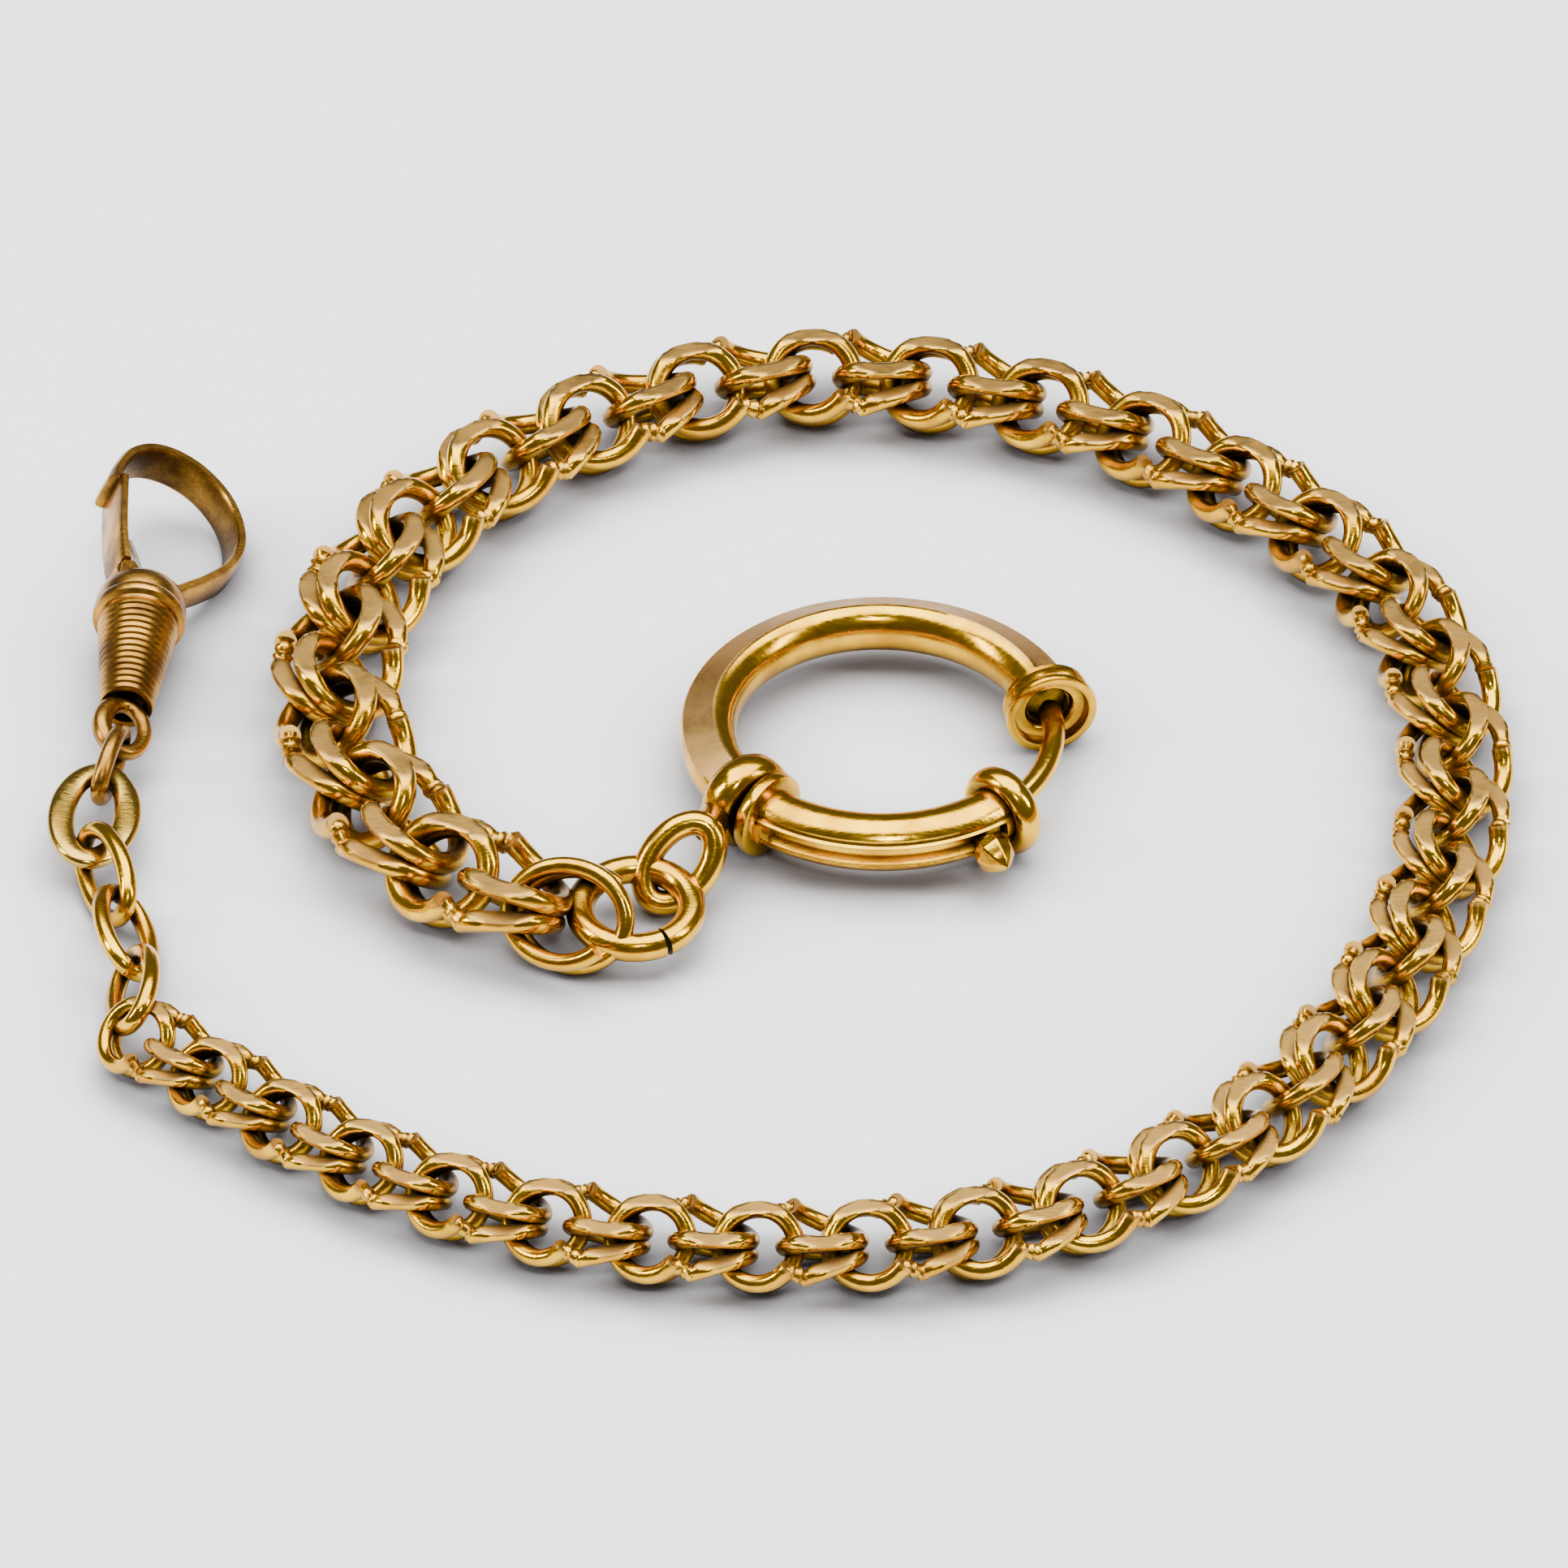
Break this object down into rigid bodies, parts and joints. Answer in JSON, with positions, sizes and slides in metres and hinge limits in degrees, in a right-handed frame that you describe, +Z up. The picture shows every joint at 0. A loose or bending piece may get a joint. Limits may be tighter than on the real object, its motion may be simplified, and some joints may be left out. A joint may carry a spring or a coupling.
{
  "type": "pocket watch chain",
  "caption": "Graduated double-coil pocket watch chain in an open spiral, with a large sprung bolt ring at its heavy end and a swivelling sprung hook at its fine end.",
  "frame": {"origin": "on the floor under the middle of the laid-out chain's bounding box", "axes": "+Z up, +X to the right and +Y away from the viewer, with the hook at the left and its nose pointing to +Y"},
  "size_m": [0.0754, 0.0744, 0.0057],
  "materials": {
    "gold": "polished, with matte worn flats on top",
    "worn_gold": "worn, browned in the recesses",
    "flat_link_gold": "satin",
    "spring_metal": "drawn wire and strip"
  },
  "bodies": {
    "bolt_ring": {"ring_upper_tube": "gold", "ring_lower_tube": "gold", "mouth_collar": "gold", "knob_end_collar": "gold", "left_collar_large": "gold", "left_collar_small": "gold", "spring_stop": "worn_gold", "bolt_spring": "spring_metal", "attachment_eye": "gold"},
    "bolt": {"bolt": "gold", "thumb_knob": "gold"},
    "jump_ring": {"jump_ring": "gold"},
    "end_link": {"end_link": "gold"},
    "chain_unit_35": {"chain_unit_35": "gold"},
    "chain_unit_34": {"chain_unit_34": "gold"},
    "chain_unit_33": {"chain_unit_33": "gold"},
    "chain_unit_32": {"chain_unit_32": "gold"},
    "chain_unit_31": {"chain_unit_31": "gold"},
    "chain_unit_30": {"chain_unit_30": "gold"},
    "chain_unit_29": {"chain_unit_29": "gold"},
    "chain_unit_28": {"chain_unit_28": "gold"},
    "chain_unit_27": {"chain_unit_27": "gold"},
    "chain_unit_26": {"chain_unit_26": "gold"},
    "chain_unit_25": {"chain_unit_25": "gold"},
    "chain_unit_24": {"chain_unit_24": "gold"},
    "chain_unit_23": {"chain_unit_23": "gold"},
    "chain_unit_22": {"chain_unit_22": "gold"},
    "chain_unit_21": {"chain_unit_21": "gold"},
    "chain_unit_20": {"chain_unit_20": "gold"},
    "chain_unit_19": {"chain_unit_19": "gold"},
    "chain_unit_18": {"chain_unit_18": "gold"},
    "chain_unit_17": {"chain_unit_17": "gold"},
    "chain_unit_16": {"chain_unit_16": "gold"},
    "chain_unit_15": {"chain_unit_15": "gold"},
    "chain_unit_14": {"chain_unit_14": "gold"},
    "chain_unit_13": {"chain_unit_13": "gold"},
    "chain_unit_12": {"chain_unit_12": "gold"},
    "chain_unit_11": {"chain_unit_11": "gold"},
    "chain_unit_10": {"chain_unit_10": "gold"},
    "chain_unit_09": {"chain_unit_09": "gold"},
    "chain_unit_08": {"chain_unit_08": "gold"},
    "chain_unit_07": {"chain_unit_07": "gold"},
    "chain_unit_06": {"chain_unit_06": "gold"},
    "chain_unit_05": {"chain_unit_05": "gold"},
    "chain_unit_04": {"chain_unit_04": "gold"},
    "chain_unit_03": {"chain_unit_03": "gold"},
    "chain_unit_02": {"chain_unit_02": "gold"},
    "chain_unit_01": {"chain_unit_01": "gold"},
    "oval_link_1": {"oval_link_1": "gold"},
    "oval_link_2": {"oval_link_2": "gold"},
    "oval_link_3": {"oval_link_3": "gold"},
    "flat_link": {"flat_link": "flat_link_gold"},
    "small_oval_link": {"small_oval_link": "worn_gold"},
    "swivel_eye": {"swivel_eye": "worn_gold", "swivel_rivet": "worn_gold"},
    "hook_body": {"hook": "worn_gold", "barrel": "worn_gold", "gate_pin": "worn_gold", "gate_spring": "spring_metal"},
    "gate": {"gate": "worn_gold"}
  },
  "joints": [
    {"name": "bolt_slide_round", "type": "hinge", "parent": "bolt_ring", "child": "bolt", "pos_m": [0.00529, 0.00384, 0.00255], "axis": [0, 0, 1], "range_deg": [-45, 0], "stiffness_Nm_per_rad": 0.001, "springref_deg": 11.46, "deforming": ["bolt_spring"]},
    {"name": "jump_ring_swing", "type": "hinge", "parent": "bolt_ring", "child": "jump_ring", "pos_m": [-0.00519, -0.00852, 0.00331], "axis": [0.8027, -0.5964, 0], "range_deg": [-15, 5]},
    {"name": "end_link_swing", "type": "hinge", "parent": "jump_ring", "child": "end_link", "pos_m": [-0.00781, -0.01203, 0.00255], "axis": [-0.3207, -0.9472, 0], "range_deg": [-20, 10]},
    {"name": "chain_unit_35_swing", "type": "hinge", "parent": "end_link", "child": "chain_unit_35", "pos_m": [-0.01219, -0.01055, 0.00268], "axis": [-0.5336, -0.8457, 0], "range_deg": [-20, 20]},
    {"name": "chain_unit_34_swing", "type": "hinge", "parent": "chain_unit_35", "child": "chain_unit_34", "pos_m": [-0.01828, -0.00671, 0.00266], "axis": [0.8751, 0.484, 0], "range_deg": [-20, 6]},
    {"name": "chain_unit_33_swing", "type": "hinge", "parent": "chain_unit_34", "child": "chain_unit_33", "pos_m": [-0.02167, -0.00059, 0.00264], "axis": [-0.9661, -0.2582, 0], "range_deg": [-20, 20]},
    {"name": "chain_unit_32_swing", "type": "hinge", "parent": "chain_unit_33", "child": "chain_unit_32", "pos_m": [-0.02347, 0.00617, 0.00261], "axis": [0.9962, -0.0866, 0], "range_deg": [-20, 20]},
    {"name": "chain_unit_31_swing", "type": "hinge", "parent": "chain_unit_32", "child": "chain_unit_31", "pos_m": [-0.02287, 0.01302, 0.00259], "axis": [-0.9426, 0.3341, 0], "range_deg": [-20, 20]},
    {"name": "chain_unit_30_swing", "type": "hinge", "parent": "chain_unit_31", "child": "chain_unit_30", "pos_m": [-0.02059, 0.01946, 0.00256], "axis": [0.8217, -0.57, 0], "range_deg": [-20, 20]},
    {"name": "chain_unit_29_swing", "type": "hinge", "parent": "chain_unit_30", "child": "chain_unit_29", "pos_m": [-0.01674, 0.025, 0.00254], "axis": [-0.6554, 0.7553, 0], "range_deg": [-20, 20]},
    {"name": "chain_unit_28_swing", "type": "hinge", "parent": "chain_unit_29", "child": "chain_unit_28", "pos_m": [-0.0117, 0.02938, 0.00252], "axis": [0.4979, -0.8673, 0], "range_deg": [-20, 20]},
    {"name": "chain_unit_27_swing", "type": "hinge", "parent": "chain_unit_28", "child": "chain_unit_27", "pos_m": [-0.00596, 0.03268, 0.00249], "axis": [-0.2695, 0.963, 0], "range_deg": [-20, 20]},
    {"name": "chain_unit_26_swing", "type": "hinge", "parent": "chain_unit_27", "child": "chain_unit_26", "pos_m": [0.00038, 0.03445, 0.00247], "axis": [-0.0428, -0.9991, 0], "range_deg": [-20, 20]},
    {"name": "chain_unit_25_swing", "type": "hinge", "parent": "chain_unit_26", "child": "chain_unit_25", "pos_m": [0.00686, 0.03417, 0.00244], "axis": [0.2665, 0.9638, 0], "range_deg": [-20, 20]},
    {"name": "chain_unit_24_swing", "type": "hinge", "parent": "chain_unit_25", "child": "chain_unit_24", "pos_m": [0.01304, 0.03246, 0.00242], "axis": [-0.4275, -0.904, 0], "range_deg": [-20, 20]},
    {"name": "chain_unit_23_swing", "type": "hinge", "parent": "chain_unit_24", "child": "chain_unit_23", "pos_m": [0.01879, 0.02975, 0.0024], "axis": [0.5993, 0.8005, 0], "range_deg": [-20, 20]},
    {"name": "chain_unit_22_swing", "type": "hinge", "parent": "chain_unit_23", "child": "chain_unit_22", "pos_m": [0.02381, 0.02598, 0.00237], "axis": [-0.7106, -0.7036, 0], "range_deg": [-20, 20]},
    {"name": "chain_unit_21_swing", "type": "hinge", "parent": "chain_unit_22", "child": "chain_unit_21", "pos_m": [0.02819, 0.02156, 0.00235], "axis": [0.8022, 0.5971, 0], "range_deg": [-20, 20]},
    {"name": "chain_unit_20_swing", "type": "hinge", "parent": "chain_unit_21", "child": "chain_unit_20", "pos_m": [0.03188, 0.01661, 0.00232], "axis": [-0.9244, -0.3814, 0], "range_deg": [-20, 20]},
    {"name": "chain_unit_19_swing", "type": "hinge", "parent": "chain_unit_20", "child": "chain_unit_19", "pos_m": [0.03421, 0.01096, 0.0023], "axis": [0.9896, 0.1438, 0], "range_deg": [-20, 20]},
    {"name": "chain_unit_18_swing", "type": "hinge", "parent": "chain_unit_19", "child": "chain_unit_18", "pos_m": [0.03507, 0.005, 0.00228], "axis": [-0.9999, 0.0158, 0], "range_deg": [-20, 20]},
    {"name": "chain_unit_17_swing", "type": "hinge", "parent": "chain_unit_18", "child": "chain_unit_17", "pos_m": [0.03498, -0.00095, 0.00225], "axis": [0.9878, -0.1557, 0], "range_deg": [-20, 20]},
    {"name": "chain_unit_16_swing", "type": "hinge", "parent": "chain_unit_17", "child": "chain_unit_16", "pos_m": [0.03406, -0.00677, 0.00223], "axis": [-0.955, 0.2965, 0], "range_deg": [-20, 20]},
    {"name": "chain_unit_15_swing", "type": "hinge", "parent": "chain_unit_16", "child": "chain_unit_15", "pos_m": [0.03234, -0.01234, 0.0022], "axis": [0.9079, -0.4191, 0], "range_deg": [-20, 20]},
    {"name": "chain_unit_14_swing", "type": "hinge", "parent": "chain_unit_15", "child": "chain_unit_14", "pos_m": [0.02992, -0.01757, 0.00218], "axis": [-0.8455, 0.5339, 0], "range_deg": [-20, 20]},
    {"name": "chain_unit_13_swing", "type": "hinge", "parent": "chain_unit_14", "child": "chain_unit_13", "pos_m": [0.02688, -0.02239, 0.00216], "axis": [0.7493, -0.6623, 0], "range_deg": [-20, 20]},
    {"name": "chain_unit_12_swing", "type": "hinge", "parent": "chain_unit_13", "child": "chain_unit_12", "pos_m": [0.02314, -0.02662, 0.00213], "axis": [-0.6075, 0.7943, 0], "range_deg": [-20, 20]},
    {"name": "chain_unit_11_swing", "type": "hinge", "parent": "chain_unit_12", "child": "chain_unit_11", "pos_m": [0.01871, -0.03, 0.00211], "axis": [0.4667, -0.8844, 0], "range_deg": [-20, 20]},
    {"name": "chain_unit_10_swing", "type": "hinge", "parent": "chain_unit_11", "child": "chain_unit_10", "pos_m": [0.01384, -0.03257, 0.00208], "axis": [-0.3006, 0.9538, 0], "range_deg": [-20, 20]},
    {"name": "chain_unit_09_swing", "type": "hinge", "parent": "chain_unit_10", "child": "chain_unit_09", "pos_m": [0.00865, -0.03421, 0.00206], "axis": [0.1265, -0.992, 0], "range_deg": [-20, 20]},
    {"name": "chain_unit_08_swing", "type": "hinge", "parent": "chain_unit_09", "child": "chain_unit_08", "pos_m": [0.00332, -0.03489, 0.00204], "axis": [0.0149, 0.9999, 0], "range_deg": [-20, 20]},
    {"name": "chain_unit_07_swing", "type": "hinge", "parent": "chain_unit_08", "child": "chain_unit_07", "pos_m": [-0.00199, -0.03481, 0.00201], "axis": [-0.1318, -0.9913, 0], "range_deg": [-20, 20]},
    {"name": "chain_unit_06_swing", "type": "hinge", "parent": "chain_unit_07", "child": "chain_unit_06", "pos_m": [-0.00719, -0.03412, 0.00199], "axis": [0.2517, 0.9678, 0], "range_deg": [-20, 20]},
    {"name": "chain_unit_05_swing", "type": "hinge", "parent": "chain_unit_06", "child": "chain_unit_05", "pos_m": [-0.01221, -0.03281, 0.00196], "axis": [-0.3948, -0.9188, 0], "range_deg": [-20, 20]},
    {"name": "chain_unit_04_swing", "type": "hinge", "parent": "chain_unit_05", "child": "chain_unit_04", "pos_m": [-0.01691, -0.03079, 0.00194], "axis": [0.5226, 0.8526, 0], "range_deg": [-20, 20]},
    {"name": "chain_unit_03_swing", "type": "hinge", "parent": "chain_unit_04", "child": "chain_unit_03", "pos_m": [-0.02122, -0.02816, 0.00192], "axis": [-0.6115, -0.7912, 0], "range_deg": [-20, 20]},
    {"name": "chain_unit_02_swing", "type": "hinge", "parent": "chain_unit_03", "child": "chain_unit_02", "pos_m": [-0.02516, -0.02511, 0.00189], "axis": [0.6459, 0.7634, 0], "range_deg": [-20, 20]},
    {"name": "chain_unit_01_swing", "type": "hinge", "parent": "chain_unit_02", "child": "chain_unit_01", "pos_m": [-0.02891, -0.02194, 0.00187], "axis": [-0.6366, -0.7712, 0], "range_deg": [-20, 20]},
    {"name": "oval_link_1_swing", "type": "hinge", "parent": "chain_unit_01", "child": "oval_link_1", "pos_m": [-0.03213, -0.01928, 0.00296], "axis": [0.9958, 0.0917, 0], "range_deg": [-10, 8]},
    {"name": "oval_link_2_swing", "type": "hinge", "parent": "oval_link_1", "child": "oval_link_2", "pos_m": [-0.03257, -0.01451, 0.00196], "axis": [-0.9864, -0.1641, 0], "range_deg": [-18, 20]},
    {"name": "oval_link_3_swing", "type": "hinge", "parent": "oval_link_2", "child": "oval_link_3", "pos_m": [-0.03335, -0.00979, 0.00178], "axis": [0.8794, 0.4761, 0], "range_deg": [-20, 20]},
    {"name": "flat_link_swing", "type": "hinge", "parent": "oval_link_3", "child": "flat_link", "pos_m": [-0.03556, -0.00571, 0.00189], "axis": [-0.9971, 0.0758, 0], "range_deg": [-20, 6]},
    {"name": "small_oval_link_swing", "type": "hinge", "parent": "flat_link", "child": "small_oval_link", "pos_m": [-0.03518, -0.00071, 0.00219], "axis": [0.9616, -0.2743, 0], "range_deg": [-12, 12]},
    {"name": "swivel_eye_swing", "type": "hinge", "parent": "small_oval_link", "child": "swivel_eye", "pos_m": [-0.03429, 0.00242, 0.0023], "axis": [0.9396, -0.0205, -0.3416], "range_deg": [-15, 15]},
    {"name": "hook_swivel", "type": "hinge", "parent": "swivel_eye", "child": "hook_body", "pos_m": [-0.03381, 0.01454, 0.00291], "axis": [0.0399, 0.998, 0.0499], "continuous": true},
    {"name": "gate_hinge", "type": "hinge", "parent": "hook_body", "child": "gate", "pos_m": [-0.035, 0.01537, 0.00339], "axis": [0.3399, -0.0605, 0.9385], "range_deg": [-28, 0], "stiffness_Nm_per_rad": 0.0003, "springref_deg": 8.59, "deforming": ["gate_spring"]}
  ]
}
